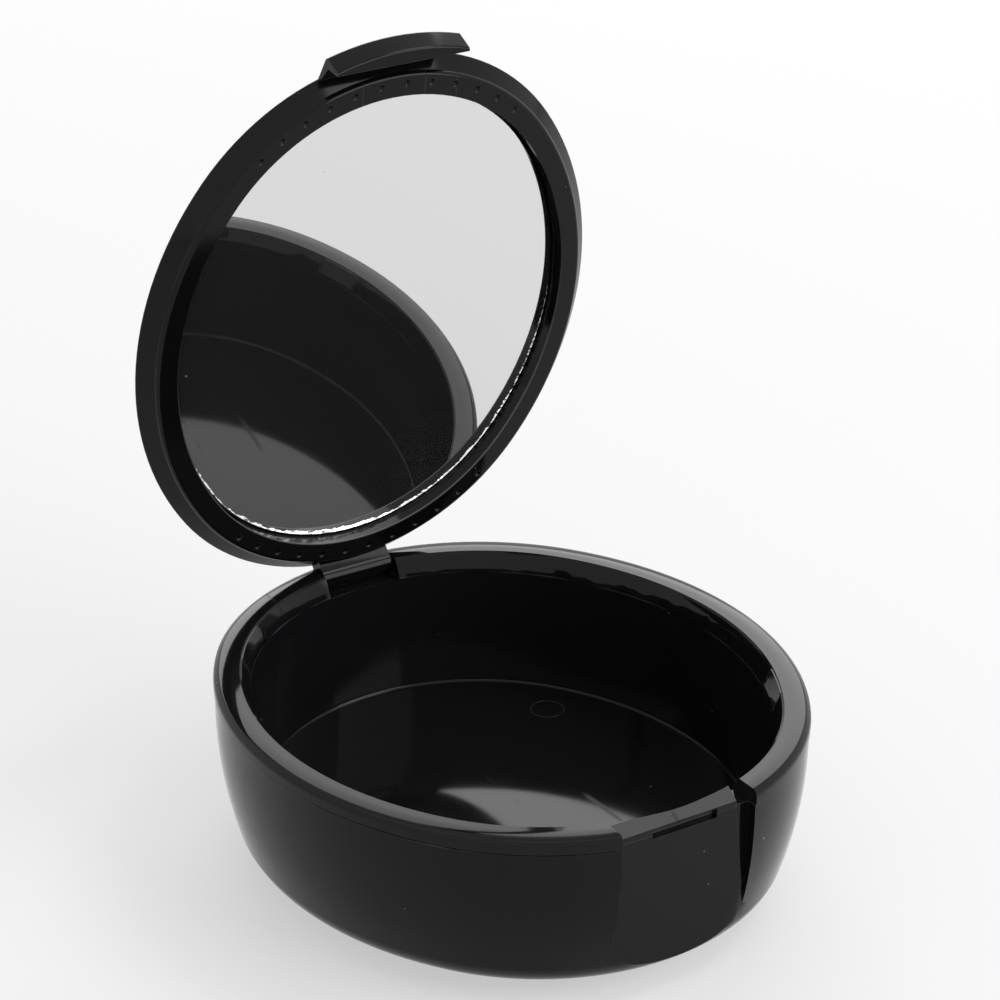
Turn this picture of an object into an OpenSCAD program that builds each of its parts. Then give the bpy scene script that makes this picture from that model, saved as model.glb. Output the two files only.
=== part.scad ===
// Denture case with a mirror in its hinged lid.
// Origin: the middle of the flat underside. +Z is up, the hinge is at +Y and the thumb tab at -Y.
// The lid is drawn open, as it stands while the case is in use.

/* [Outline] */
// Width of the base across the rim
case_w = 75.6; // [70:0.2:84]
// How much longer the base is than wide, from the thumb tab to the hinge
longer = 8.2; // [5:0.2:12]

/* [Base] */
// Height of the base up to its land
base_h = 26.2; // [23:0.2:34]
// Width of the flat land round the opening
land_w = 3.7; // [3.4:0.05:4]
// Height of the rim band above the seam
band_h = 2.1; // [2:0.05:2.6]
// Height of the sloping collar below the land
collar_h = 2.65; // [2.3:0.05:3.2]
// How far the collar draws in over its height
collar_draw = 1.2; // [0.9:0.05:1.3]
// How far the cavity wall draws in down to the floor
cavity_draw = 1.3; // [0.8:0.1:2]
// Height of the cavity floor
floor_h = 6.8; // [5:0.2:9]
// Radius of the bulged side of the bowl, seen in section
side_r = 54; // [46:1:80]
// Wall of the outer bowl
bowl_wall = 1.6; // [1.2:0.1:1.7]
// Wall and floor of the inner tray
tray_wall = 1.4; // [1:0.1:1.5]

/* [Thumb recess and catch] */
// Width of the recess in the front of the base
recess_w = 20.2; // [16:0.2:22]
// How far the panel's top edge lies behind the rim
panel_in = 2.6; // [2.5:0.05:2.7]
// Lean of the panel, in mm of depth for each mm of height
panel_lean = 0.045; // [0.03:0.005:0.06]
// Width of the relief slit at the right of the panel, at its top
slit_w = 2.3; // [1.4:0.1:3]
// Width of the catch slot
slot_w = 9.8; // [6:0.2:11]
// Height of the catch slot
slot_h = 1.3; // [1:0.1:1.6]
// How far the thumb tab hangs below the land
tab_drop = 3.5; // [2.8:0.1:4.5]

/* [Lid] */
// Angle from closed at which the open lid stands
open_angle = 82; // [60:1:83]
// How far the plug ring drops below the land
plug_h = 1.6; // [1.3:0.05:1.9]
// Width of the flat ring round the mirror
ring_w = 2.5; // [2.2:0.1:4]
// Thickness of the lid behind the mirror
lid_wall = 1.5; // [1.2:0.1:2.2]
// Rise of the lid's crown above its shoulder
crown_rise = 1.2; // [0.6:0.1:2.4]

/* [Mirror] */
// Thickness of the mirror glass
mirror_t = 1.5; // [1.1:0.1:2]
// Depth of the mirror's face below the ring
mirror_sunk = 2.15; // [1.8:0.05:2.4]
// Thickness of the adhesive pad behind the mirror
tape_t = 0.4; // [0.3:0.05:0.8]

/* [Hinge] */
// Diameter of the hinge pin
pin_d = 1.4; // [1.2:0.1:1.6]
// Length of the hinge pin
pin_l = 15.4; // [14:0.2:16]
// Outer diameter of the lid's knuckle
knuckle_d = 2.9; // [2.8:0.05:3]
// Length of the lid's knuckle
knuckle_l = 10.8; // [9:0.2:11.2]

/* [Hidden] */
$fn = 180;
far = 200;

// Clearances and small forms
gap_side = 0.2;      // at each side of the tab and the knuckle
gap_panel = 0.25;    // between the tab and the panel
gap_mirror = 0.15;   // round the mirror
gap_spigot = 0.1;    // between the tray and the bowl
pin_fit = 0.04;      // radial running clearance of the lid on its pin
rim_r = 0.9;         // rounding of the rim's outer edge
seam_in = 0.15;      // the bowl's side lies this far inside the band
land_edge = 0.2;     // small slope at the land's inner edge
spigot_h = 1.5;
plug_r = 0.65;

// Plan of the case: an oval of four arcs about the corners of a 3-4-5 triangle, mirrored both ways
half_w = case_w / 2;
half_l = (case_w + longer) / 2;
plan_unit = longer / 4;
end_y = 3 * plan_unit;
side_x = 4 * plan_unit;
end_r = half_w - plan_unit;
side_arc_r = end_r + 5 * plan_unit;
reach = 30;

// Heights and insets of the base
land_z = base_h;
seam_z = land_z - band_h;
spigot_z = seam_z - spigot_h;
collar_z = land_z - collar_h;
collar_in = land_w + collar_draw;
floor_in = collar_in + cavity_draw;
floor_r = 0.5;
side_z = land_z - 4.2;
heel_z = 0.28 * side_z;
heel_r = 5;
heel_from = asin((side_z - heel_z) / side_r);
heel_to = 53;

// Front of the base
panel_y = -(half_l - panel_in);
panel_z = land_z - 1.2;
panel_t = 0.9;
strip_slope = 0.7;
slit_foot_z = 0.33 * land_z;
slit_floor_z = land_z - 2.2;
slit_depth = 0.55;
slot_z = panel_z - 0.2 - slot_h;
slot_depth = 0.6;

// Hinge
axis_y = half_l - 2.3;
axis_z = land_z - 1.15;
notch_w = knuckle_l + 2.5 * gap_side;
notch_z = axis_z - knuckle_d / 2 - gap_side;

// Lid, closed
ring_z = land_z - plug_h;
plug_in = land_w + 1.15;
mirror_in = plug_in + plug_r + ring_w;
lid_in = land_w - 0.7;
lid_edge_r = 0.3;
lid_edge = [lid_in + lid_edge_r, land_z + 0.5 + lid_edge_r];
lid_slope = 45;
mirror_z = ring_z + mirror_sunk;
tape_z = mirror_z + mirror_t;
seat_z = tape_z + tape_t;
shoulder_z = seat_z + lid_wall;
shoulder_r = (shoulder_z - lid_edge[1] - lid_edge_r * sin(lid_slope)) / (1 - sin(lid_slope));
shoulder = lid_edge + (shoulder_r - lid_edge_r) * [cos(lid_slope), -sin(lid_slope)];
crown_in = 0.9 * end_r;
crown_a = 2 * atan(crown_rise / (crown_in - shoulder[0]));
tab_w = recess_w - 2 * gap_side;
tab_top_z = land_z - 0.8;
tab_foot_z = land_z - tab_drop;
tab_in = -0.35;
tab_foot_in = tab_in + 0.75;
tab_r = 0.45;
tab_inner_y = panel_y - gap_panel;

// Points along an arc
function arc(c, r, from, to, n) =
    [for (i = [0 : n]) let (a = from + (to - from) * i / n) c + r * [cos(a), sin(a)]];

// Inset of the cavity wall at height z
function wall_in(z) = collar_in + cavity_draw * (collar_z - z) / (collar_z - floor_h);

// To the nearest thousandth, so that neighbouring arcs meet exactly
function fine(v) = round(v * 1000) / 1000;

// Sections are lists of [inset from the rim, height]. A sweep carries one round the oval.
module sweep(section) {
    for (s = [1, -1]) {
        sector(section, end_r, [0, s * end_y],
               [[0, s * end_y], [4 * reach, s * (end_y + 3 * reach)],
                [-4 * reach, s * (end_y + 3 * reach)]]);
        sector(section, side_arc_r, [-s * side_x, 0],
               [[0, end_y], [s * 4 * reach, end_y + 3 * reach],
                [s * 4 * reach, -end_y - 3 * reach], [0, -end_y]]);
    }
}

// The part of a turned section that lies over a region of the plan
module sector(section, r, centre, region) {
    intersection() {
        translate(centre) rotate_extrude()
            polygon([for (p = section) [max(0, fine(r - p[0])), fine(p[1])]]);
        translate([0, 0, -reach]) linear_extrude(4 * reach) polygon(region);
    }
}

// A prism along X, drawn by its [y, z] outline
module prism_x(outline, from_x, to_x) {
    translate([from_x, 0, 0]) rotate([90, 0, 90])
        linear_extrude(to_x - from_x) polygon(outline);
}

// A rod along X
module rod_x(d, l) {
    rotate([0, 90, 0]) cylinder(d = d, h = l, center = true);
}

// ---- outer bowl ----

// The bowl's surface, or a face at some depth below it
function bowl_line(depth, n) =
    let (side_c = [seam_in + side_r, side_z],
         heel_c = side_c - (side_r - heel_r) * [cos(heel_from), sin(heel_from)],
         base_r = heel_r + (heel_c[1] - heel_r) / (1 - sin(heel_to)),
         base_c = heel_c + (base_r - heel_r) * [cos(heel_to), sin(heel_to)])
    concat([[seam_in + depth, seam_z]],
           arc(side_c, side_r - depth, 180, 180 + heel_from, n),
           arc(heel_c, heel_r - depth, 180 + heel_from, 180 + heel_to, 2 * n),
           arc(base_c, base_r - depth, 180 + heel_to, 270, 2 * n));

function reversed(list) = [for (i = [len(list) - 1 : -1 : 0]) list[i]];

module bowl_body() {
    sweep(concat(bowl_line(0, 7), [[far, 0], [far, bowl_wall]], reversed(bowl_line(bowl_wall, 4))));
}

module bowl_solid() {
    sweep(concat(bowl_line(0, 7), [[far, 0], [far, seam_z]]));
}

function panel_at(z) = panel_y + panel_lean * (panel_z - z);

// Everything in front of the panel, down to where the plane runs out of the bowl
module recess_cut() {
    prism_x([[panel_at(0), 0], [panel_at(land_z + 5), land_z + 5], [-half_l - 5, land_z + 5],
             [-half_l - 5, 0]], -recess_w / 2, recess_w / 2);
}

// The wedge of the relief slit, running down the panel's right edge
module slit_cut() {
    translate([0, panel_y - 1, 0]) rotate([-90, 0, 0]) mirror([0, 1, 0])
        linear_extrude(1 + slit_depth)
            polygon([[recess_w / 2, slit_foot_z], [recess_w / 2, land_z + 1],
                     [recess_w / 2 - slit_w, land_z + 1], [recess_w / 2 - slit_w, panel_z]]);
}

module slot_cut() {
    translate([-slot_w / 2, panel_y - 1, slot_z]) cube([slot_w, 1 + slot_depth, slot_h]);
}

module notch_cut() {
    translate([-notch_w / 2, half_l - floor_in - 1, notch_z]) cube([notch_w, 20, 20]);
}

module outer_bowl() {
    color("#141517") difference() {
        union() {
            bowl_body();
            intersection() {
                bowl_solid();
                prism_x([[panel_at(0) - 1, bowl_wall / 2], [panel_at(0) + panel_t, bowl_wall / 2],
                         [panel_at(seam_z) + panel_t, seam_z], [panel_at(seam_z) - 1, seam_z]],
                        -recess_w / 2 - 1.2, recess_w / 2 + 1.2);
            }
        }
        recess_cut();
        slit_cut();
        slot_cut();
        notch_cut();
    }
}

// ---- inner tray ----
tray_section = concat(
    [[seam_in + 0.1, seam_z], [0, seam_z + 0.2]],
    arc([rim_r, land_z - rim_r], rim_r, 180, 90, 8),
    [[land_w - land_edge, land_z],
     [land_w + collar_draw * land_edge / collar_h, land_z - land_edge],
     [collar_in, collar_z]],
    arc([floor_in + floor_r, floor_h + floor_r], floor_r, 180, 270, 5),
    [[far, floor_h],
     [far, floor_h - tray_wall],
     [floor_in - tray_wall, floor_h - tray_wall],
     [wall_in(spigot_z) - tray_wall, spigot_z],
     [seam_in + bowl_wall + gap_spigot, spigot_z],
     [seam_in + bowl_wall + gap_spigot, seam_z]]);

module inner_tray() {
    color("#17181a") difference() {
        sweep(tray_section);
        recess_cut();
        // room for the bowl's panel
        prism_x([[-half_l - 5, 0], [-half_l - 5, seam_z],
                 [panel_at(seam_z) + panel_t + gap_spigot, seam_z],
                 [panel_at(0) + panel_t + gap_spigot, 0]],
                -recess_w / 2 - 1.3, recess_w / 2 + 1.3);
        // the front strip slopes down to the panel
        prism_x([[panel_y - 5, panel_z - 5 * strip_slope], [panel_y + 5, panel_z + 5 * strip_slope],
                 [panel_y - 5, panel_z + 5 * strip_slope]], -recess_w / 2, recess_w / 2);
        // the slit opens the strip
        translate([recess_w / 2 - slit_w, panel_y - 1, slit_floor_z]) cube([slit_w, 6, 5]);
        slot_cut();
        notch_cut();
        translate([0, axis_y, axis_z]) rod_x(pin_d, pin_l + 0.4);
    }
}

// ---- lid ----

// The crown's arc leaves the shoulder's arc along its tangent
crown_start = shoulder + shoulder_r * [cos(90 + crown_a), sin(90 + crown_a)];
crown_r = (crown_in - crown_start[0]) / sin(crown_a);
crown_top_z = crown_start[1] + crown_r * (1 - cos(crown_a));
lid_section = concat(
    [[mirror_in, seat_z], [mirror_in, ring_z]],
    arc([plug_in + plug_r, ring_z + plug_r], plug_r, 270, 180, 6),
    [[plug_in, ring_z + plug_r + 0.15]],
    arc(lid_edge, lid_edge_r, 232, 180 - lid_slope, 6),
    arc(shoulder, shoulder_r, 180 - lid_slope - 2, 90 + crown_a, 16),
    arc([crown_in, crown_top_z - crown_r], crown_r, 90 + crown_a * 0.9, 90, 9),
    [[far, crown_top_z], [far, seat_z]]);

tab_section = concat(
    [[land_w + 0.7, lid_edge[1] + 0.9], [lid_edge[0] + 0.3, lid_edge[1] + 0.5]],
    arc([tab_in + tab_r, tab_top_z], tab_r, 110, 190, 7),
    arc([tab_foot_in + tab_r, tab_foot_z + tab_r], tab_r, 190, 270, 8),
    [[land_w + 0.7, tab_foot_z]]);

module thumb_tab() {
    difference() {
        intersection() {
            sweep(tab_section);
            translate([-tab_w / 2, -half_l - 5, 0]) cube([tab_w, 12, 2 * land_z]);
        }
        // it stays clear of the panel and of the sloping strip
        prism_x([[tab_inner_y, 0], [tab_inner_y, panel_z + 0.1],
                 [tab_inner_y + 10, panel_z + 0.1 + 10 * strip_slope], [tab_inner_y + 10, 0]],
                -tab_w, tab_w);
    }
    // catch bead
    prism_x([[tab_inner_y - 0.3, slot_z + 0.25], [tab_inner_y + 0.17, slot_z + 0.5],
             [tab_inner_y + 0.17, slot_z + 0.7], [tab_inner_y - 0.3, slot_z + 1]],
            -slot_w / 2 + 0.4, slot_w / 2 - 0.4);
}

module hinge_lug() {
    translate([0, axis_y, axis_z]) difference() {
        union() {
            rod_x(knuckle_d, knuckle_l);
            prism_x([[-1.2, -0.6], [-3, 1.3], [-3, 2.9], [-1.1, 2.5], [1.1, 0.8]],
                    -knuckle_l / 2, knuckle_l / 2);
        }
        rod_x(pin_d + 2 * pin_fit, knuckle_l + 2);
    }
}

// Places the closed lid's parts as the open lid holds them
module opened() {
    translate([0, axis_y, axis_z]) rotate([-open_angle, 0, 0]) translate([0, -axis_y, -axis_z])
        children();
}

module lid_shell() {
    color("#141517") opened() {
        sweep(lid_section);
        thumb_tab();
        hinge_lug();
    }
}

module mirror_glass() {
    edge = mirror_in + gap_mirror;
    color("#c9ced1") opened()
        sweep([[edge, tape_z], [edge, mirror_z + 0.2], [edge + 0.2, mirror_z], [far, mirror_z],
               [far, tape_z]]);
}

module mirror_tape() {
    color("#d8d8d2") opened()
        sweep([[mirror_in + 1.5, seat_z], [mirror_in + 1.5, tape_z], [far, tape_z], [far, seat_z]]);
}

// ---- hinge pin ----
module hinge_pin() {
    color("#b9bcc0") translate([0, axis_y, axis_z]) rod_x(pin_d, pin_l);
}

outer_bowl();
inner_tray();
lid_shell();
mirror_glass();
mirror_tape();
hinge_pin();
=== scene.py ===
# %% [markdown]
# # A denture case with a mirror in its lid
#
# The case is two nested mouldings in glossy black plastic with a hinged lid. Its solids come from the packed
# model: this script loads them as a fixed frame, and gives them the finish of the real mouldings, a floor to
# stand on, studio light and a camera at the photograph's viewing angle. Everything is in metres, unless a
# comment says millimetres.

# %% Load the frame
import math

import bmesh
import bpy
from mathutils import Matrix, Vector


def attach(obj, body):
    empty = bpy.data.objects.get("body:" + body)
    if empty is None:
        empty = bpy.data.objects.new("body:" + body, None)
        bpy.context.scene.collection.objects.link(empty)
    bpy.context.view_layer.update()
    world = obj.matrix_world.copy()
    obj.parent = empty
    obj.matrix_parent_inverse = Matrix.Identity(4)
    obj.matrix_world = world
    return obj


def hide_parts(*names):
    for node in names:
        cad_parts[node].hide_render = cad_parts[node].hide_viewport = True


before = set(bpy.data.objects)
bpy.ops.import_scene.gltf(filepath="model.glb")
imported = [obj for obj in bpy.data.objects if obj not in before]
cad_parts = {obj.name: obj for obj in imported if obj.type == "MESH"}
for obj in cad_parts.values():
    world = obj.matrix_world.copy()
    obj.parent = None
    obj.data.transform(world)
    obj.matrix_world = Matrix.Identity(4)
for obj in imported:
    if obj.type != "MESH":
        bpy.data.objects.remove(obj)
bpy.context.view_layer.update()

# %% [markdown]
# ## Skins over the solids
#
# A solid of the frame is loose flat triangles, which gloss plastic would show as facets. The mouldings could be
# modelled again as smooth surfaces, but they would then drift away from the solids. So each gets a skin: a copy
# of its mesh whose points are merged, and whose faces are shaded smoothly up to a sharp angle. A Weighted Normal
# modifier keeps the flat faces flat where a small round meets them. The skin stands in for its solid, rides on
# the same body, and lies exactly where the solid lies.

# %% Skin helpers
SHARP = math.radians(24.0)
MERGE = 2e-6


def in_scene(name, data):
    """Makes an object of a mesh, lamp or camera and puts it in the scene."""
    made = bpy.data.objects.new(name, data)
    bpy.context.scene.collection.objects.link(made)
    return made


def as_mesh(shape, name):
    """Turns a finished bmesh into a mesh."""
    mesh = bpy.data.meshes.new(name)
    shape.to_mesh(mesh)
    shape.free()
    return mesh


def merged_copy(node):
    """A bmesh of one solid with its loose triangles joined."""
    shape = bmesh.new()
    shape.from_mesh(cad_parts[node].data)
    bmesh.ops.remove_doubles(shape, verts=shape.verts, dist=MERGE)
    return shape


def shade_smooth(shape):
    """Smooth faces, and sharp edges where two of them meet at more than the sharp angle."""
    for face in shape.faces:
        face.smooth = True
    for edge in shape.edges:
        edge.smooth = len(edge.link_faces) == 2 and edge.calc_face_angle() < SHARP


def as_piece(shape, name, body, node):
    """Makes the piece from a finished bmesh, hangs it on its body and hides the solid it stands in for."""
    shade_smooth(shape)
    piece = in_scene(name, as_mesh(shape, name))
    even = piece.modifiers.new("flat faces stay flat", "WEIGHTED_NORMAL")
    even.keep_sharp = True
    even.weight = 100
    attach(piece, body)
    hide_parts(node)
    print("skin", name, "has", len(piece.data.polygons), "faces")
    return piece


# %% [markdown]
# ## Bowl and tray
#
# The outer bowl is what the hand holds, and the tray sits in it and carries the land, the collar and the
# cavity. Their seam runs round the rim just below the land. Their solids have every form that shows, so each
# needs no more than its skin.

# %% Bowl and tray skins
bowl_skin = as_piece(merged_copy("outer_bowl"), "bowl_skin", "base", "outer_bowl")
tray_skin = as_piece(merged_copy("inner_tray"), "tray_skin", "base", "inner_tray")

# %% [markdown]
# ## Lid with its dimples
#
# Shallow dimples lie in the ring round the mirror, as a mould's ejector pins leave them: twelve by the tab and
# twelve by the hinge, evenly spaced. A bump could only shade them, so they are cut: small balls are joined into
# one cutter, and a Boolean modifier takes them out of the lid's skin. Their places are worked out with the lid
# closed, and are then turned open about the hinge, because the frame rests with the lid open.

# %% Lid skin
HINGE = Vector((0.0, 0.0396, 0.02505))
OPEN = math.radians(-82.0)
PLAN_UNIT = 0.00205
END_R = 0.03575
SIDE_R = END_R + 5 * PLAN_UNIT
RING_Z = 0.0246
DIMPLES = 12
DIMPLE_INSET = 0.0063
DIMPLE_STEP = math.radians(6.18)
DIMPLE_R = 0.00062
DIMPLE_DEEP = 0.00026

lid_open = Matrix.Translation(HINGE) @ Matrix.Rotation(OPEN, 4, "X") @ Matrix.Translation(-HINGE)


def plan_inset(x, y):
    """How far a point lies inside the case's four-arc outline."""
    x, y = abs(x), abs(y)
    if 4 * (y - 3 * PLAN_UNIT) > 3 * x:
        return END_R - math.hypot(x, y - 3 * PLAN_UNIT)
    return SIDE_R - math.hypot(x + 4 * PLAN_UNIT, y)


def plan_point(angle, inset):
    """The point of the plan at that angle from the middle and that far inside the outline."""
    low, high = 0.0, 0.05
    for _ in range(40):
        reach = (low + high) / 2
        if plan_inset(reach * math.cos(angle), reach * math.sin(angle)) > inset:
            low = reach
        else:
            high = reach
    return low * math.cos(angle), low * math.sin(angle)


def dimple_balls():
    """One cutter of small balls in a row at either end of the ring."""
    shape = bmesh.new()
    for side in (-1, 1):
        for count in range(DIMPLES):
            angle = side * math.pi / 2 + (count - (DIMPLES - 1) / 2) * DIMPLE_STEP
            x, y = plan_point(angle, DIMPLE_INSET)
            place = lid_open @ Matrix.Translation((x, y, RING_Z - DIMPLE_R + DIMPLE_DEEP))
            bmesh.ops.create_icosphere(shape, subdivisions=2, radius=DIMPLE_R, matrix=place)
    return in_scene("dimple_balls", as_mesh(shape, "dimple_balls"))


def cut_away(shape, cutter):
    """Takes a cutter out of a bmesh and gives back the result as a bmesh."""
    whole = in_scene("whole", as_mesh(shape, "whole"))
    cut = whole.modifiers.new("cut", "BOOLEAN")
    cut.operation = "DIFFERENCE"
    cut.solver = "EXACT"
    cut.object = cutter
    result = whole.evaluated_get(bpy.context.evaluated_depsgraph_get()).to_mesh()
    shape = bmesh.new()
    shape.from_mesh(result)
    bmesh.ops.triangulate(shape, faces=shape.faces)
    for done in (whole, cutter):
        bpy.data.objects.remove(done)
    return shape


lid_skin = as_piece(cut_away(merged_copy("lid_shell"), dimple_balls()),
                    "lid_skin", "lid", "lid_shell")

# %% [markdown]
# ## Helpers for materials
#
# A material is a small graph of nodes. Written out node by node it would be long and hard to follow, so short
# helpers each add one node or one usual step: some arithmetic, a remapped value, a band between two limits, a
# noise, a moved pattern, two colours mixed by a mask, or a bump.

# %% Value helpers
def link_or_set(tree, socket, value):
    if isinstance(value, bpy.types.NodeSocket):
        tree.links.new(value, socket)
    else:
        socket.default_value = value


def math_node(tree, operation, *values):
    node = tree.nodes.new("ShaderNodeMath")
    node.operation = operation
    for socket, value in zip(node.inputs, values):
        link_or_set(tree, socket, value)
    return node.outputs[0]


def product(tree, value, *others):
    for other in others:
        value = math_node(tree, "MULTIPLY", value, other)
    return value


def length_of(tree, across, along):
    squares = math_node(tree, "ADD", product(tree, across, across), product(tree, along, along))
    return math_node(tree, "SQRT", squares)


def remap(tree, value, low, high, to_low=0.0, to_high=1.0):
    node = tree.nodes.new("ShaderNodeMapRange")
    tree.links.new(value, node.inputs["Value"])
    for name, number in (("From Min", low), ("From Max", high), ("To Min", to_low), ("To Max", to_high)):
        link_or_set(tree, node.inputs[name], number)
    return node.outputs["Result"]


def band(tree, value, low, high, soft):
    """1 between low and high, fading to 0 over soft on either side."""
    rise = remap(tree, value, low - soft, low)
    return product(tree, rise, remap(tree, value, high, high + soft, 1.0, 0.0))


# %% Pattern and colour helpers
def axes(tree, vector):
    node = tree.nodes.new("ShaderNodeSeparateXYZ")
    tree.links.new(vector, node.inputs[0])
    return node.outputs


def noise(tree, vector, scale, detail=2.0, rough=0.5):
    node = tree.nodes.new("ShaderNodeTexNoise")
    tree.links.new(vector, node.inputs["Vector"])
    for name, value in (("Scale", scale), ("Detail", detail), ("Roughness", rough)):
        node.inputs[name].default_value = value
    return node.outputs["Fac"]


def cells(tree, vector, scale):
    """Distance to the nearest point of a Voronoi pattern."""
    node = tree.nodes.new("ShaderNodeTexVoronoi")
    tree.links.new(vector, node.inputs["Vector"])
    node.inputs["Scale"].default_value = scale
    return node.outputs["Distance"]


def placed(tree, vector, location=(0, 0, 0), rotation=(0, 0, 0), scale=(1, 1, 1)):
    node = tree.nodes.new("ShaderNodeMapping")
    tree.links.new(vector, node.inputs["Vector"])
    for name, value in (("Location", location), ("Rotation", rotation), ("Scale", scale)):
        node.inputs[name].default_value = value
    return node.outputs[0]


def mix_colour(tree, mask, under, over):
    node = tree.nodes.new("ShaderNodeMix")
    node.data_type = "RGBA"
    link_or_set(tree, node.inputs["Factor"], mask)
    for name, colour in (("A", under), ("B", over)):
        link_or_set(tree, node.inputs[name],
                    colour if isinstance(colour, bpy.types.NodeSocket) else (*colour, 1.0))
    return node.outputs["Result"]


def bump(tree, height, distance=1.0, strength=1.0, under=None):
    """A normal from a height; under is the normal that it adds to."""
    node = tree.nodes.new("ShaderNodeBump")
    node.inputs["Strength"].default_value = strength
    node.inputs["Distance"].default_value = distance
    tree.links.new(height, node.inputs["Height"])
    if under is not None:
        tree.links.new(under, node.inputs["Normal"])
    return node.outputs[0]


# %% Group and material helpers
def new_group(name, inputs, outputs):
    """A node group with a Vector, other inputs that start at 1, and its outputs; gives its two end nodes too."""
    tree = bpy.data.node_groups.new(name, "ShaderNodeTree")
    tree.interface.new_socket("Vector", in_out="INPUT", socket_type="NodeSocketVector")
    for label in inputs:
        tree.interface.new_socket(label, in_out="INPUT", socket_type="NodeSocketFloat").default_value = 1.0
    for label in outputs:
        tree.interface.new_socket(label, in_out="OUTPUT", socket_type="NodeSocketFloat")
    return tree, tree.nodes.new("NodeGroupInput"), tree.nodes.new("NodeGroupOutput")


def use_group(tree, group, vector, **values):
    node = tree.nodes.new("ShaderNodeGroup")
    node.node_tree = group
    tree.links.new(vector, node.inputs["Vector"])
    for name, value in values.items():
        node.inputs[name].default_value = value
    return node.outputs


def new_material(name):
    """A material with one plain shader."""
    material = bpy.data.materials.new(name)
    material.use_nodes = True
    tree = material.node_tree
    tree.nodes.clear()
    shader = tree.nodes.new("ShaderNodeBsdfPrincipled")
    tree.links.new(shader.outputs[0], tree.nodes.new("ShaderNodeOutputMaterial").inputs["Surface"])
    return material, tree, shader


def object_place(tree):
    """The piece's own Object coordinates, which stay on it when it moves."""
    return tree.nodes.new("ShaderNodeTexCoord").outputs["Object"]


def finish_in(piece, material):
    """Gives a piece or a solid of the frame one material."""
    piece.data.materials.clear()
    piece.data.materials.append(material)
    print("finished", piece.name, "in", material.name)


# %% [markdown]
# ## A ruler for the oval plan
#
# Moulding marks follow the case's outline, so a pattern needs to know how far it lies inside that outline. An
# image could carry such a map, but it would blur and need unwrapping. This group measures it from the Object
# coordinates, with the same four arcs as the solids: round the ends the centres lie on the long axis, and
# along the sides they lie across it. It gives millimetres.

# %% Plan ruler group
IN_MM = 1000.0


def plan_ruler():
    tree, start, end = new_group("plan ruler", (), ("Inset", "X", "Y", "Z"))
    x, y, z = axes(tree, placed(tree, start.outputs["Vector"], scale=(IN_MM, IN_MM, IN_MM)))
    unit = PLAN_UNIT * IN_MM
    wide = math_node(tree, "ABSOLUTE", x)
    long = math_node(tree, "SUBTRACT", math_node(tree, "ABSOLUTE", y), 3 * unit)
    side = math_node(tree, "ADD", wide, 4 * unit)
    at_end = math_node(tree, "SUBTRACT", END_R * IN_MM, length_of(tree, wide, long))
    at_side = math_node(tree, "SUBTRACT", SIDE_R * IN_MM, length_of(tree, side, y))
    chosen = math_node(tree, "GREATER_THAN", product(tree, long, 4.0), product(tree, wide, 3.0))
    step = product(tree, chosen, math_node(tree, "SUBTRACT", at_end, at_side))
    inset = math_node(tree, "ADD", at_side, step)
    for label, value in (("Inset", inset), ("X", x), ("Y", y), ("Z", z)):
        tree.links.new(value, end.inputs[label])
    return tree


ruler = plan_ruler()
print("built the plan ruler with", len(ruler.nodes), "nodes")

# %% [markdown]
# ## Wear that every moulding shares
#
# Real gloss plastic is never perfect: it has a faint waviness from the mould, hairline scratches from wiping,
# specks of dust, and edges that handling has rubbed. The lighter edges here are partly that wear and partly a
# painted highlight. One node group makes all of these from the Object coordinates, so the pattern stays on the
# part when it moves. Scratches are a noise stretched thin in two directions, specks are small warped Voronoi
# cells, and edges come from a Bevel node: where its rounded normal leaves the true one, an edge is near. Each
# material sets how strong they are.

# %% Wear group
EDGE_REACH = 0.00022
WAVES = 110.0
SCRATCHES = ((0.4, 900.0), (2.0, 1300.0))
SPECKS, WARP, WARP_REACH = 330.0, 5000.0, 0.0004


def scratch_lines(tree, place):
    """Hairlines in two directions, each in patches."""
    lines = 0.0
    for turn, count in SCRATCHES:
        turned = placed(tree, place, rotation=(0.3, turn, turn * 1.7), scale=(1.0, 0.02, 0.3))
        line = remap(tree, noise(tree, turned, count, 0.0), 0.74, 0.80)
        patches = remap(tree, noise(tree, place, 60.0 + 50 * turn, 1.0), 0.52, 0.66)
        lines = math_node(tree, "MAXIMUM", lines, product(tree, line, patches))
    return lines


def dust_specks(tree, place):
    """Small warped cells, of which only some are large enough to show."""
    warp = tree.nodes.new("ShaderNodeTexNoise")
    tree.links.new(place, warp.inputs["Vector"])
    warp.inputs["Scale"].default_value = WARP
    bent = tree.nodes.new("ShaderNodeVectorMath")
    bent.operation = "MULTIPLY_ADD"
    tree.links.new(warp.outputs["Color"], bent.inputs[0])
    bent.inputs[1].default_value = (WARP_REACH, WARP_REACH, WARP_REACH)
    tree.links.new(place, bent.inputs[2])
    size = remap(tree, noise(tree, place, 410.0, 0.0), 0.54, 0.78, 0.0, 0.055)
    return math_node(tree, "LESS_THAN", cells(tree, bent.outputs[0], SPECKS), size)


def rubbed_and_highlit_edges(tree, place):
    """Where an edge is near, in patches: partly rubbed wear, partly a painted edge highlight."""
    rounded = tree.nodes.new("ShaderNodeBevel")
    rounded.samples = 4
    rounded.inputs["Radius"].default_value = EDGE_REACH
    bend = tree.nodes.new("ShaderNodeVectorMath")
    bend.operation = "DOT_PRODUCT"
    tree.links.new(rounded.outputs[0], bend.inputs[0])
    tree.links.new(tree.nodes.new("ShaderNodeNewGeometry").outputs["Normal"], bend.inputs[1])
    patches = remap(tree, noise(tree, place, 260.0, 4.0, 0.7), 0.42, 0.68)
    return product(tree, remap(tree, bend.outputs["Value"], 0.98, 0.85), patches)


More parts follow.
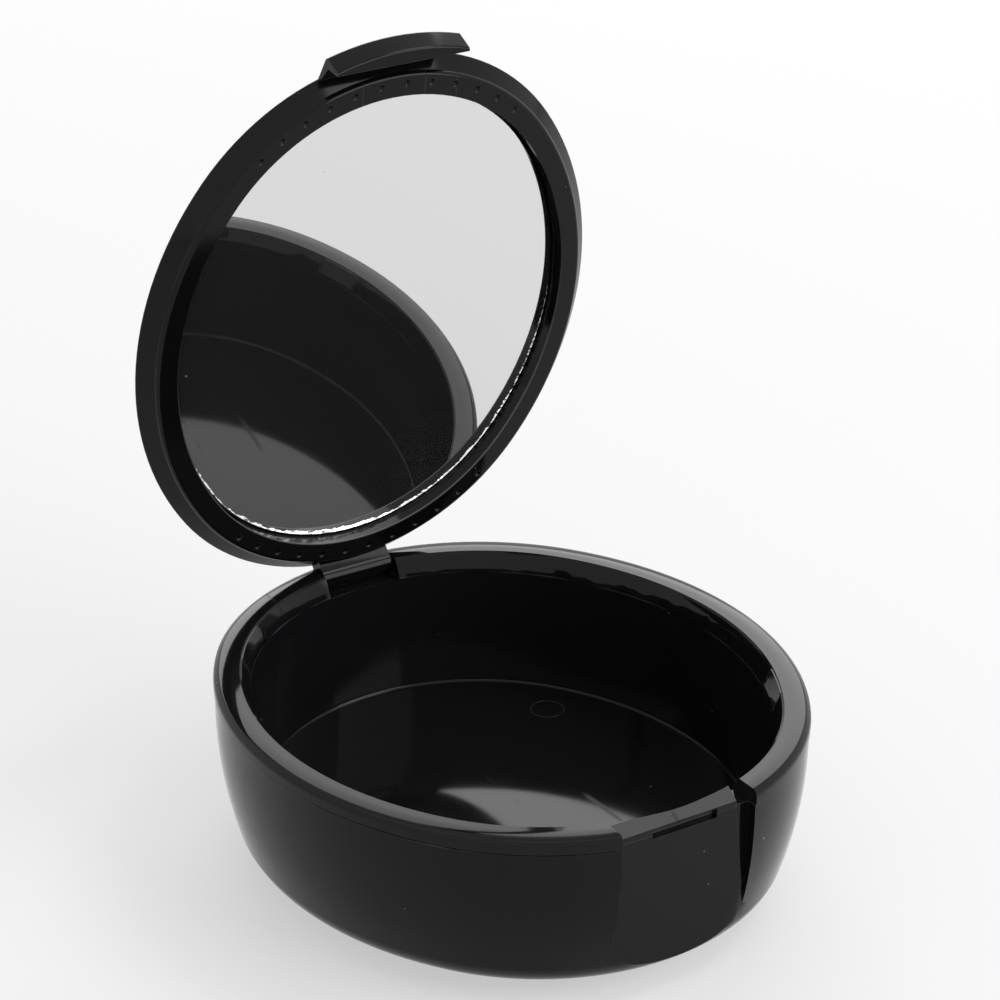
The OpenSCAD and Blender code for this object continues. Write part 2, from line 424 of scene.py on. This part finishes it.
def wear_group():
    tree, start, end = new_group("moulding wear", ("Scratches", "Dust"), ("Height", "Haze", "Specks", "Edges"))
    place = start.outputs["Vector"]
    lines = product(tree, scratch_lines(tree, place), start.outputs["Scratches"])
    height = math_node(tree, "SUBTRACT", product(tree, noise(tree, place, WAVES, 1.0), 0.25),
                       product(tree, lines, 0.05))
    specks = product(tree, dust_specks(tree, place), start.outputs["Dust"])
    for label, value in (("Height", height), ("Haze", lines), ("Specks", specks),
                         ("Edges", rubbed_and_highlit_edges(tree, place))):
        tree.links.new(value, end.inputs[label])
    return tree


wear = wear_group()
print("built the wear group with", len(wear.nodes), "nodes")

# %% [markdown]
# ## Glossy black plastic
#
# The shells are black all through and polished by their mould. Nearly all the light they send back is
# reflected, so their colour is close to black, the roughness is low, and a slight bump bends the reflections.
# Such plastic has an index of refraction of about 1.5. Here it is lower, fitted to the photograph's dark
# walls, because the walls reflect a white floor. Marks that belong to one moulding, and painted highlight lines
# on some of its edges, come in as a mask, which lightens and dulls the plastic, and as a height in metres.

# %% Black plastic
PLASTIC_IOR = 1.27
DUST = (0.35, 0.35, 0.34)
# lighter grey for real marks and rubbed edges, and for painted highlight lines
WORN_AND_HIGHLIT_GREY = (0.10, 0.10, 0.105)
EDGE_SHARE = 0.45
SCRATCH_DULLS, DUST_DULLS, MARK_DULLS = 0.25, 0.5, 0.25
WAVE_DEEP = 0.0002


def black_plastic(name, shade, roughness, haze, dust, scratches, wave, marks):
    material, tree, shader = new_material(name)
    place = object_place(tree)
    worn = use_group(tree, wear, place, Scratches=scratches, Dust=dust)
    light, height = marks(tree, place)
    # edges are lightened, partly as rubbed wear and partly as a painted edge highlight
    light = math_node(tree, "MAXIMUM", light, product(tree, worn["Edges"], EDGE_SHARE))
    black = mix_colour(tree, light, shade, WORN_AND_HIGHLIT_GREY)
    tree.links.new(mix_colour(tree, worn["Specks"], black, DUST), shader.inputs["Base Color"])
    cloud = remap(tree, noise(tree, place, 45.0, 3.0), 0.35, 0.7, roughness, roughness + haze)
    for mask, dulls in ((worn["Haze"], SCRATCH_DULLS), (worn["Specks"], DUST_DULLS), (light, MARK_DULLS)):
        cloud = math_node(tree, "ADD", cloud, product(tree, mask, dulls))
    tree.links.new(cloud, shader.inputs["Roughness"])
    wavy = bump(tree, worn["Height"], distance=WAVE_DEEP, strength=wave)
    tree.links.new(bump(tree, height, under=wavy), shader.inputs["Normal"])
    shader.inputs["IOR"].default_value = PLASTIC_IOR
    return material


# %% [markdown]
# ## A painted highlight on the bowl
#
# A thin, patchy line along the seam of the rim band is painted lighter, as a highlight on the band's rounded
# edge. The wear group finds all edges alike, so this one gets a mask of its own, at the seam's height.

# %% Bowl seam highlight
SEAM_HIGHLIGHT = (23.95, 24.06, 0.05)    # from, to and fade, in mm


def bowl_seam_highlight_and_waves(tree, place):
    plan = use_group(tree, ruler, place)
    patchy = remap(tree, noise(tree, place, 160.0, 3.0), 0.45, 0.7)
    # painted highlight: a lighter, patchy line along the seam
    light = product(tree, band(tree, plan["Z"], *SEAM_HIGHLIGHT), patchy, 0.3)
    return light, product(tree, noise(tree, place, 30.0, 1.0), 0.00004)


bowl_black = black_plastic("shell black", (0.0035, 0.0036, 0.0040), 0.05, 0.04, 0.5, 0.6, 0.05, bowl_seam_highlight_and_waves)
finish_in(bowl_skin, bowl_black)

# %% [markdown]
# ## Marks in the tray
#
# Inside the tray the floor has the ring of an ejector pin. The collar under the land has two ragged sink
# marks, where the plastic drew back from the mould and tilts up by some degrees, and its lower edge gets a
# painted highlight: a thin, lighter line. The land is crowned: it falls off to the outside by a few degrees. All
# of these are too slight for the solid, so a mask and a bump give them. Each sink mark names its side, its reach
# along Y in millimetres and its slope.

# %% Tray marks
EJECTOR_AT, EJECTOR_R, FLOOR_BELOW = (19.3, 19.2), 2.35, 7.0
COLLAR_HIGHLIGHT = (23.50, 23.62, 0.05)
COLLAR_INSET, COLLAR_Z, LAND_Z = (3.75, 4.75, 0.1), (23.7, 26.0, 0.2), 26.2
SINKS = ((-1.0, 23.5, 30.5, 0.00018), (1.0, -21.5, -16.0, 0.00045))
CROWN_FROM, CROWN_FALL, CROWN_ABOVE = 2.6, 0.00005, 26.0


def ejector_ring(tree, place, plan):
    shifted = placed(tree, place, location=(-EJECTOR_AT[0], -EJECTOR_AT[1], 0.0), scale=(IN_MM, IN_MM, IN_MM))
    across, along, _ = axes(tree, shifted)
    line = band(tree, length_of(tree, across, along), EJECTOR_R - 0.04, EJECTOR_R + 0.04, 0.06)
    return product(tree, line, math_node(tree, "LESS_THAN", plan["Z"], FLOOR_BELOW))


def sink_marks(tree, place, plan):
    """Height of the two ragged patches on the collar."""
    collar = product(tree, band(tree, plan["Inset"], *COLLAR_INSET), band(tree, plan["Z"], *COLLAR_Z))
    ragged = math_node(tree, "SUBTRACT", noise(tree, place, 1400.0, 3.0, 0.7), 0.5)
    drop = math_node(tree, "SUBTRACT", LAND_Z, plan["Z"])
    height = 0.0
    for turned_to, low, high, slope in SINKS:
        along = math_node(tree, "ADD", plan["Y"], product(tree, ragged, 2.5))
        side = remap(tree, product(tree, plan["X"], turned_to), 19.0, 20.0)
        there = product(tree, product(tree, band(tree, along, low, high, 0.4), side), collar)
        height = math_node(tree, "ADD", height, product(tree, there, product(tree, drop, slope)))
    return height


def land_crown(tree, plan):
    """Height of the land's slight fall to the outside."""
    outer = math_node(tree, "MAXIMUM", math_node(tree, "SUBTRACT", CROWN_FROM, plan["Inset"]), 0.0)
    on_land = math_node(tree, "GREATER_THAN", plan["Z"], CROWN_ABOVE)
    return product(tree, product(tree, outer, outer), -CROWN_FALL, on_land)


def tray_marks_and_highlight(tree, place):
    plan = use_group(tree, ruler, place)
    ring = ejector_ring(tree, place, plan)
    patchy = remap(tree, noise(tree, place, 170.0, 3.0), 0.42, 0.7)
    # painted highlight: a lighter, patchy line along the collar's lower edge
    collar_highlight = product(tree, band(tree, plan["Z"], *COLLAR_HIGHLIGHT), patchy, 0.5)
    light = math_node(tree, "MAXIMUM", product(tree, ring, 0.35), collar_highlight)
    height = math_node(tree, "ADD", sink_marks(tree, place, plan), product(tree, ring, -0.00004))
    return light, math_node(tree, "ADD", height, land_crown(tree, plan))


tray_black = black_plastic("tray black", (0.0068, 0.0070, 0.0078), 0.05, 0.04, 0.7, 0.6, 0.04, tray_marks_and_highlight)
finish_in(tray_skin, tray_black)

# %% [markdown]
# ## Marks on the lid
#
# Thin lines show where the mould's inserts met in the lid's ring, and the ring's edge beside the mirror gets a
# painted highlight, a thin lighter line that is strongest near the hinge. They follow the oval plan, which is
# level only while the lid is closed, so a Mapping node turns the open lid's Object coordinates shut about the
# hinge, and the marks are placed there.

# %% Lid marks
CLOSE = -OPEN
closed_shift = HINGE - Matrix.Rotation(CLOSE, 3, "X") @ HINGE
INSERT_LINES = (-4.6, 4.8, 9.7)
RING_INSET, RING_BELOW = (4.6, 8.1, 0.1), 25.3
LIP_INSET, LIP_BELOW = (7.9, 8.02, 0.05), 24.8


def closed_place(tree, place):
    return placed(tree, place, location=closed_shift, rotation=(CLOSE, 0.0, 0.0))


def lid_marks_and_highlight(tree, place):
    plan = use_group(tree, ruler, closed_place(tree, place))
    ring = product(tree, band(tree, plan["Inset"], *RING_INSET), math_node(tree, "LESS_THAN", plan["Y"], 0.0),
                   math_node(tree, "LESS_THAN", plan["Z"], RING_BELOW))
    lines = 0.0
    for x in INSERT_LINES:
        lines = math_node(tree, "MAXIMUM", lines, band(tree, plan["X"], x - 0.02, x + 0.02, 0.05))
    lines = product(tree, lines, ring)
    # painted highlight: a thin lighter line on the ring's edge by the mirror, strongest near the hinge
    lip_highlight = product(tree, band(tree, plan["Inset"], *LIP_INSET), math_node(tree, "LESS_THAN", plan["Z"], LIP_BELOW),
                  remap(tree, plan["Y"], -5.0, 25.0))
    light = math_node(tree, "MAXIMUM", product(tree, lines, 0.12), lip_highlight)
    return light, product(tree, lines, -0.00006)


lid_black = black_plastic("lid black", (0.0035, 0.0036, 0.0040), 0.07, 0.04, 0.9, 0.6, 0.05, lid_marks_and_highlight)
finish_in(lid_skin, lid_black)

# %% [markdown]
# ## Mirror
#
# The mirror is silvered glass. Real glass over silver needs two layers, but at this size only the silver
# shows, so a metal shader with almost no roughness is enough. The glass is pressed into its seat, which tilts
# its face by a degree or two, so a long, shallow slope goes into the bump. Its ground edge is rounded in the
# bump, and its ragged colour is a painted highlight, near white and widest by the hinge.

# %% Mirror glass
MIRROR_IN = 8.0
TILT = (0.0286, 0.0095)
LID_UP = (-0.139, 0.990)    # the open lid's long axis in Y and Z
SILVER, SILVER_DUST, EDGE_HIGHLIGHT = (0.735, 0.74, 0.735), (0.45, 0.45, 0.44), (0.97, 0.97, 0.96)


def bright_edge(tree, place, plan):
    """A mask of the ragged edge, which gets a painted highlight, and how deep each point lies inside the glass.
    """
    depth = math_node(tree, "SUBTRACT", plan["Inset"], MIRROR_IN)
    ragged = math_node(tree, "ADD", noise(tree, place, 500.0, 4.0, 0.7),
                       product(tree, noise(tree, place, 90.0, 1.0), 0.8))
    by_hinge = remap(tree, plan["Y"], -16.0, 33.0, 0.12, 1.0)
    width = product(tree, by_hinge, remap(tree, ragged, 0.60, 1.20, 0.45, 1.25))
    return math_node(tree, "LESS_THAN", depth, width), depth


def mirror_height(tree, place, edge, depth):
    """The tilt of the whole face and the rounding of its edge."""
    x, y, z = axes(tree, place)
    height = math_node(tree, "ADD", product(tree, y, LID_UP[0] * TILT[1]), product(tree, z, LID_UP[1] * TILT[1]))
    height = math_node(tree, "ADD", height, product(tree, x, TILT[0]))
    fall = remap(tree, noise(tree, place, 900.0, 2.0), 0.3, 0.7, -0.0007, -0.00042)
    return math_node(tree, "ADD", height, product(tree, product(tree, edge, depth), fall))


def silvered_glass():
    material, tree, shader = new_material("silvered glass")
    place = object_place(tree)
    worn = use_group(tree, wear, place, Scratches=0.3, Dust=0.8)
    edge, depth = bright_edge(tree, place, use_group(tree, ruler, closed_place(tree, place)))
    tint = mix_colour(tree, worn["Specks"], SILVER, SILVER_DUST)
    # painted highlight: the ragged edge is coloured near white
    tree.links.new(mix_colour(tree, edge, tint, EDGE_HIGHLIGHT), shader.inputs["Base Color"])
    rough = math_node(tree, "ADD", remap(tree, worn["Specks"], 0.0, 1.0, 0.008, 0.5), product(tree, edge, 0.22))
    tree.links.new(rough, shader.inputs["Roughness"])
    shader.inputs["Metallic"].default_value = 0.985
    tree.links.new(bump(tree, mirror_height(tree, place, edge, depth)), shader.inputs["Normal"])
    return material


finish_in(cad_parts["mirror_glass"], silvered_glass())

# %% [markdown]
# ## Pad and pin
#
# Behind the mirror sits a white foam pad, and the hinge turns on a drawn steel pin. Both are hidden, so their
# finishes are plain: pores from a Voronoi pattern, and fine lines along the wire from a stretched noise.

# %% Foam pad and steel pin
def foam_pad():
    material, tree, shader = new_material("foam pad")
    pores = cells(tree, object_place(tree), 4000.0)
    tree.links.new(mix_colour(tree, remap(tree, pores, 0.1, 0.7), (0.60, 0.60, 0.57), (0.76, 0.76, 0.73)),
                   shader.inputs["Base Color"])
    shader.inputs["Roughness"].default_value = 0.85
    tree.links.new(bump(tree, pores, distance=0.0001, strength=0.4), shader.inputs["Normal"])
    return material


def drawn_steel():
    material, tree, shader = new_material("drawn steel")
    lines = noise(tree, placed(tree, object_place(tree), scale=(0.02, 1.0, 1.0)), 9000.0, 2.0)
    tree.links.new(mix_colour(tree, lines, (0.50, 0.51, 0.52), (0.62, 0.62, 0.63)),
                   shader.inputs["Base Color"])
    tree.links.new(remap(tree, lines, 0.3, 0.7, 0.25, 0.4), shader.inputs["Roughness"])
    shader.inputs["Metallic"].default_value = 1.0
    return material


finish_in(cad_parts["mirror_tape"], foam_pad())
finish_in(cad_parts["hinge_pin"], drawn_steel())

# %% [markdown]
# ## Floor and white room
#
# The case stands on a white sweep, as in a product studio. Black gloss plastic shows its shape only by what it
# reflects, so the room matters more than the lamps. More light would make the floor whiter but wash the case
# out. Instead, half of the floor's brightness, as the camera and the reflections see it, is plain white, and
# the other half is the lit floor, which keeps the case's shadow. The world is white to the same rays, and
# lights the case at half that level.

# %% Floor
FLOOR_SHARE = 0.5
FLOOR_RADIUS = 2.5
FLOOR_WHITE = (0.90, 0.90, 0.90, 1.0)


def seen_rays(tree):
    """1 for the rays of the camera, reflections and glass, and 0 for the rays that light the object."""
    path = tree.nodes.new("ShaderNodeLightPath")
    shown = math_node(tree, "MAXIMUM", path.outputs["Is Camera Ray"], path.outputs["Is Glossy Ray"])
    return math_node(tree, "MAXIMUM", shown, path.outputs["Is Transmission Ray"])


def white_floor():
    material, tree, shader = new_material("white floor")
    surface = shader.outputs[0].links[0].to_socket
    shader.inputs["Base Color"].default_value = FLOOR_WHITE
    shader.inputs["Roughness"].default_value = 0.9
    shader.inputs["Specular IOR Level"].default_value = 0.0
    both = tree.nodes.new("ShaderNodeMixShader")
    tree.links.new(product(tree, seen_rays(tree), FLOOR_SHARE), both.inputs[0])
    tree.links.new(shader.outputs[0], both.inputs[1])
    tree.links.new(tree.nodes.new("ShaderNodeEmission").outputs[0], both.inputs[2])
    tree.links.new(both.outputs[0], surface)
    return material


disc = bmesh.new()
bmesh.ops.create_circle(disc, cap_ends=True, segments=96, radius=FLOOR_RADIUS)
floor = in_scene("floor", as_mesh(disc, "floor"))
finish_in(floor, white_floor())

# %% World
WORLD_LIGHT = 0.5

world = bpy.data.worlds.new("studio")
bpy.context.scene.world = world
world.use_nodes = True
sky = world.node_tree
sky.nodes.clear()
back = sky.nodes.new("ShaderNodeBackground")
back.inputs["Color"].default_value = (1.0, 1.0, 1.0, 1.0)
level = math_node(sky, "ADD", product(sky, seen_rays(sky), 1.0 - WORLD_LIGHT), WORLD_LIGHT)
sky.links.new(level, back.inputs["Strength"])
sky.links.new(back.outputs[0], sky.nodes.new("ShaderNodeOutputWorld").inputs["Surface"])
print("the world lights the case at", WORLD_LIGHT)

# %% [markdown]
# ## Soft boxes
#
# Small lamps would put hard white dots on gloss plastic. Large soft boxes give the broad, even highlights of
# the photograph: one at the right and behind, one in front, and a smaller one above.

# %% Lamps
SOFT_BOXES = (    # azimuth in degrees, height, distance, size, and what a reflection of it shows
    ("key box", 56.0, 0.60, 0.92, (0.85, 0.65), 2.75),
    ("front box", -58.0, 0.48, 0.90, (0.7, 0.65), 3.05),
    ("top box", -17.0, 1.00, 0.62, (0.36, 0.36), 4.6))
AIM = Vector((0, 0, 0.02))

for name, azimuth, height, distance, size, bright in SOFT_BOXES:
    lamp = bpy.data.lights.new(name, "AREA")
    lamp.shape = "RECTANGLE"
    lamp.size, lamp.size_y = size
    lamp.energy = bright * size[0] * size[1] * math.pi
    box = in_scene(name, lamp)
    turned = math.radians(azimuth)
    box.location = Vector((distance * math.cos(turned), distance * math.sin(turned), height))
    box.rotation_euler = (AIM - box.location).to_track_quat("-Z", "Y").to_euler()
    print("soft box", name, "gives", round(lamp.energy, 2), "W")

# %% [markdown]
# ## Camera
#
# The camera stands to the left of the front and looks down by 26 degrees, with a long lens, as the
# photograph's perspective shows. It could be set by eye, but its angles, distance and small offset were fitted
# to points of the photograph, so its place is worked out from those numbers.

# %% Camera
azimuth, elevation, roll = math.radians(-33.59), math.radians(25.86), math.radians(0.80)
distance, across, upward = 0.4681, -0.00112, 0.03482
base_point = Vector((0.0, 0.0, 0.01356))
out = Vector((math.sin(azimuth) * math.cos(elevation), -math.cos(azimuth) * math.cos(elevation),
              math.sin(elevation)))
level_right = Vector((math.cos(azimuth), math.sin(azimuth), 0.0))
level_up = out.cross(level_right)
right = math.cos(roll) * level_right + math.sin(roll) * level_up
up = -math.sin(roll) * level_right + math.cos(roll) * level_up
lens = bpy.data.cameras.new("camera")
lens.sensor_width = 36.0
lens.lens = 126.95
lens.clip_start = 0.01
camera = in_scene("camera", lens)
turn = Matrix((right, up, out)).transposed().to_4x4()
camera.matrix_world = Matrix.Translation(base_point + across * right + upward * up + distance * out) @ turn
bpy.context.scene.camera = camera
bpy.context.scene.view_settings.view_transform = "Standard"
print("camera at", [round(v, 4) for v in camera.matrix_world.translation])
